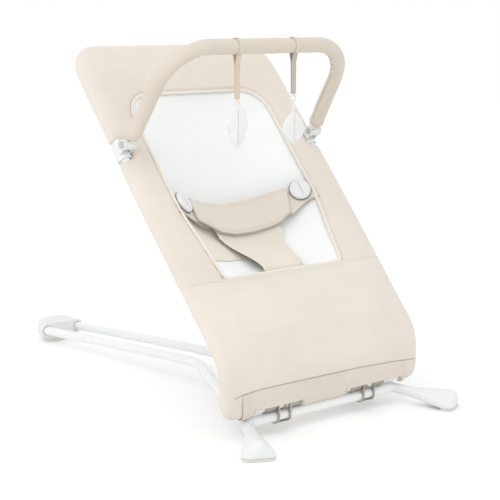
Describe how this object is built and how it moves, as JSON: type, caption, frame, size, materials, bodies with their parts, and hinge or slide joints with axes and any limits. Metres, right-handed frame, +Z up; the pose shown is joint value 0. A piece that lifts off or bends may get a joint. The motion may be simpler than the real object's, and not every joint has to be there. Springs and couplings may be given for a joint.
{
  "type": "baby bouncer seat",
  "caption": "Baby bouncer with a white fabric sling in a padded sand cover on a sloping tube frame, hinged to a low forked base, with a toggle harness and a padded toy bar.",
  "frame": {"origin": "middle of the footprint on the floor", "axes": "+Z up, +Y from the foot end towards the head end, +X across the seat to the right of someone standing at the foot end and facing it"},
  "size_m": [0.448, 0.8632, 0.5811],
  "materials": {
    "painted_tube": "smooth white powder coat, low gloss",
    "white_plastic": "moulded, fine satin",
    "grip_rubber": "matte",
    "fastener_steel": "zinc plated",
    "bracket_steel": "satin warm grey",
    "knob_plastic": "fine grain",
    "cover_fabric": "padded woven cotton, warm sand",
    "sling_fabric": "soft white knit",
    "belt_fabric": "padded woven cotton with corded edge",
    "toggle_plastic": "polished",
    "ribbon_sand": "woven tape",
    "ribbon_grey": "woven tape",
    "toy_plush": "stitched felt",
    "toy_clip": "polished"
  },
  "bodies": {
    "base": {"base_crossbar": "painted_tube", "left_tail_tube": "painted_tube", "right_tail_tube": "painted_tube", "rear_foot": "white_plastic", "rear_foot_pad": "grip_rubber", "left_leg": "white_plastic", "right_leg": "white_plastic", "left_foot_pad": "grip_rubber", "right_foot_pad": "grip_rubber", "leg_screws": "fastener_steel", "rear_foot_screws": "fastener_steel"},
    "hinge_carrier": {"left_hinge_bracket": "bracket_steel", "right_hinge_bracket": "bracket_steel", "hinge_bushes": "white_plastic", "left_lock_spring": "fastener_steel", "right_lock_spring": "fastener_steel"},
    "left_lock": {"left_lock_pin": "fastener_steel", "left_lock_knob": "knob_plastic"},
    "right_lock": {"right_lock_pin": "fastener_steel", "right_lock_knob": "knob_plastic"},
    "seat": {"seat_bottom_tube": "painted_tube", "left_corner_tube": "painted_tube", "right_corner_tube": "painted_tube", "left_side_tube": "painted_tube", "right_side_tube": "painted_tube", "seat_top_bow": "painted_tube", "frame_connectors": "fastener_steel", "frame_rivets": "fastener_steel", "left_quadrant": "bracket_steel", "right_quadrant": "bracket_steel", "left_hinge_collars": "bracket_steel", "right_hinge_collars": "bracket_steel", "head_panel": "cover_fabric", "left_side_bolster": "cover_fabric", "right_side_bolster": "cover_fabric", "lower_panel": "cover_fabric", "sling_panel": "sling_fabric", "crotch_panel": "belt_fabric", "waist_belt": "belt_fabric", "left_wing_strap": "belt_fabric", "right_wing_strap": "belt_fabric", "toggle_washers": "white_plastic", "left_bar_clamp": "white_plastic", "right_bar_clamp": "white_plastic", "left_pivot_pin": "fastener_steel", "right_pivot_pin": "fastener_steel"},
    "left_toggle_button": {"left_toggle": "toggle_plastic"},
    "right_toggle_button": {"right_toggle": "toggle_plastic"},
    "toy_bar": {"toy_bar_core": "fastener_steel", "toy_bar_sleeve": "cover_fabric", "left_bar_end": "white_plastic", "right_bar_end": "white_plastic"},
    "left_toy": {"left_toy_ribbon": "ribbon_sand", "left_leaf_toy": "toy_plush"},
    "right_toy": {"right_toy_ribbon": "ribbon_grey", "right_toy_clip": "toy_clip", "right_leaf_toy": "toy_plush"}
  },
  "joints": [
    {"name": "bounce", "type": "hinge", "parent": "base", "child": "hinge_carrier", "pos_m": [0, -0.33533, 0.0265], "axis": [-1, 0, 0], "range_deg": [-3, 3], "stiffness_Nm_per_rad": 150, "springref_deg": -1.52},
    {"name": "left_lock_slide", "type": "slide", "parent": "hinge_carrier", "child": "left_lock", "axis": [-1, 0, 0], "range_m": [0, 0.005], "stiffness_N_per_m": 400, "springref_m": -0.004, "deforming": ["left_lock_spring"]},
    {"name": "right_lock_slide", "type": "slide", "parent": "hinge_carrier", "child": "right_lock", "axis": [1, 0, 0], "range_m": [0, 0.005], "stiffness_N_per_m": 400, "springref_m": -0.004, "deforming": ["right_lock_spring"]},
    {"name": "recline", "type": "hinge", "parent": "hinge_carrier", "child": "seat", "pos_m": [0, -0.33533, 0.045], "axis": [-1, 0, 0], "range_deg": [0, 42]},
    {"name": "left_toggle_turn", "type": "hinge", "parent": "seat", "child": "left_toggle_button", "pos_m": [-0.122, -0.14942, 0.32989], "axis": [0.4342, -0.6881, 0.5815], "range_deg": [0, 90]},
    {"name": "right_toggle_turn", "type": "hinge", "parent": "seat", "child": "right_toggle_button", "pos_m": [0.122, -0.14942, 0.32989], "axis": [-0.4342, -0.6881, 0.5815], "range_deg": [0, 90]},
    {"name": "toy_bar_swing", "type": "hinge", "parent": "seat", "child": "toy_bar", "pos_m": [0, -0.1046, 0.42032], "axis": [1, 0, 0], "range_deg": [-40, 60]},
    {"name": "left_toy_swing", "type": "hinge", "parent": "toy_bar", "child": "left_toy", "pos_m": [-0.058, -0.20148, 0.56725], "axis": [1, 0, 0], "range_deg": [-50, 50]},
    {"name": "right_toy_swing", "type": "hinge", "parent": "toy_bar", "child": "right_toy", "pos_m": [0.058, -0.20148, 0.56725], "axis": [1, 0, 0], "range_deg": [-50, 50]}
  ]
}
